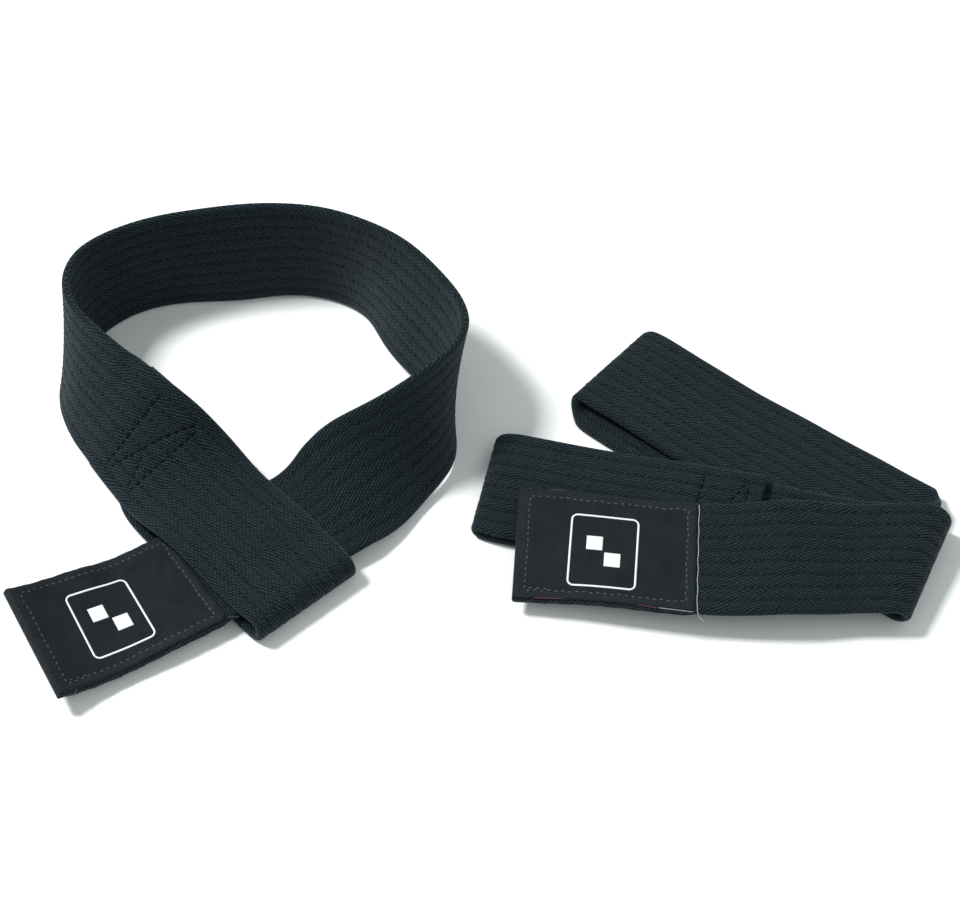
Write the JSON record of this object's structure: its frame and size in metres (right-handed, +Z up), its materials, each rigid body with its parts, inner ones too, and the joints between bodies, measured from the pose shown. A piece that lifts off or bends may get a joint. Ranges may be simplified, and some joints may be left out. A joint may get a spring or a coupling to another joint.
{
  "type": "pair of cotton lifting straps",
  "caption": "Pair of short quilted black cotton straps, each with a sewn eye and a stitched end patch; one threaded through its eye into a wrist loop, the other folded flat.",
  "frame": {"origin": "bottom centre of the pair's bounding box, on the floor the straps lie on", "axes": "+X along the row from the looped strap to the folded strap, +Y away from the side the patches read from, +Z up from the floor"},
  "size_m": [0.2946, 0.1772, 0.0411],
  "materials": {
    "cover_cotton": "matte diagonal twill with a soft blue-black sheen",
    "core_padding": "matte pressed cotton padding",
    "black_thread": "slightly glossy twisted black thread",
    "patch_cloth": "smooth satin-faced cloth, faintly wrinkled",
    "seam_thread": "light grey twisted thread",
    "print_white": "matte white screen print"
  },
  "bodies": {
    "looped_eye_end": {"looped_eye_core": "core_padding", "looped_eye_cover": "cover_cotton", "looped_eye_lock_stitch": "black_thread", "looped_eye_quilting": "black_thread"},
    "looped_back": {"looped_back_core": "core_padding", "looped_back_cover": "cover_cotton", "looped_back_quilting": "black_thread"},
    "looped_side": {"looped_side_core": "core_padding", "looped_side_cover": "cover_cotton", "looped_side_quilting": "black_thread"},
    "looped_tail": {"looped_tail_core": "core_padding", "looped_tail_cover": "cover_cotton", "looped_tail_quilting": "black_thread", "looped_label": "patch_cloth", "looped_label_mark": "print_white", "looped_label_seam": "seam_thread"},
    "folded_base": {"folded_base_core": "core_padding", "folded_base_cover": "cover_cotton", "folded_base_quilting": "black_thread"},
    "folded_front": {"folded_front_core": "core_padding", "folded_front_cover": "cover_cotton", "folded_front_quilting": "black_thread", "folded_label": "patch_cloth", "folded_label_edge_thread": "seam_thread", "folded_label_mark": "print_white", "folded_label_seam": "seam_thread"},
    "folded_eye_end": {"folded_eye_core": "core_padding", "folded_eye_cover": "cover_cotton", "folded_eye_lock_stitch": "black_thread", "folded_eye_quilting": "black_thread"}
  },
  "joints": [
    {"name": "loop_back_turn", "type": "hinge", "parent": "looped_eye_end", "child": "looped_back", "pos_m": [-0.13675, 0.04661, 0.021], "axis": [0, 0, 1], "range_deg": [-0.3, 1]},
    {"name": "loop_draw", "type": "hinge", "parent": "looped_back", "child": "looped_side", "pos_m": [-0.0388, 0.07581, 0.0205], "axis": [0, 0, 1], "range_deg": [-2.5, 8.5]},
    {"name": "loop_tail_turn", "type": "hinge", "parent": "looped_side", "child": "looped_tail", "pos_m": [-0.01195, 0.01741, 0.0212], "axis": [0, 0, 1], "range_deg": [-9.6, 2.9]},
    {"name": "straps_apart", "type": "slide", "parent": "looped_eye_end", "child": "folded_base", "axis": [0.1736, 0.9848, 0], "range_m": [0, 0.06]},
    {"name": "front_open", "type": "hinge", "parent": "folded_base", "child": "folded_front", "pos_m": [0.13405, -0.03419, 0.00697], "axis": [0.3661, 0.9294, 0.0465], "range_deg": [0, 45]},
    {"name": "eye_open", "type": "hinge", "parent": "folded_base", "child": "folded_eye_end", "pos_m": [0.13405, -0.03419, 0.00587], "axis": [0.3665, 0.9304, 0], "range_deg": [0, 40.5]}
  ],
  "couplings": [
    {"joint": "loop_back_turn", "follows": "loop_draw", "ratio": 0.117},
    {"joint": "loop_tail_turn", "follows": "loop_draw", "ratio": -1.117},
    {"joint": "eye_open", "follows": "front_open", "ratio": 0.9}
  ]
}
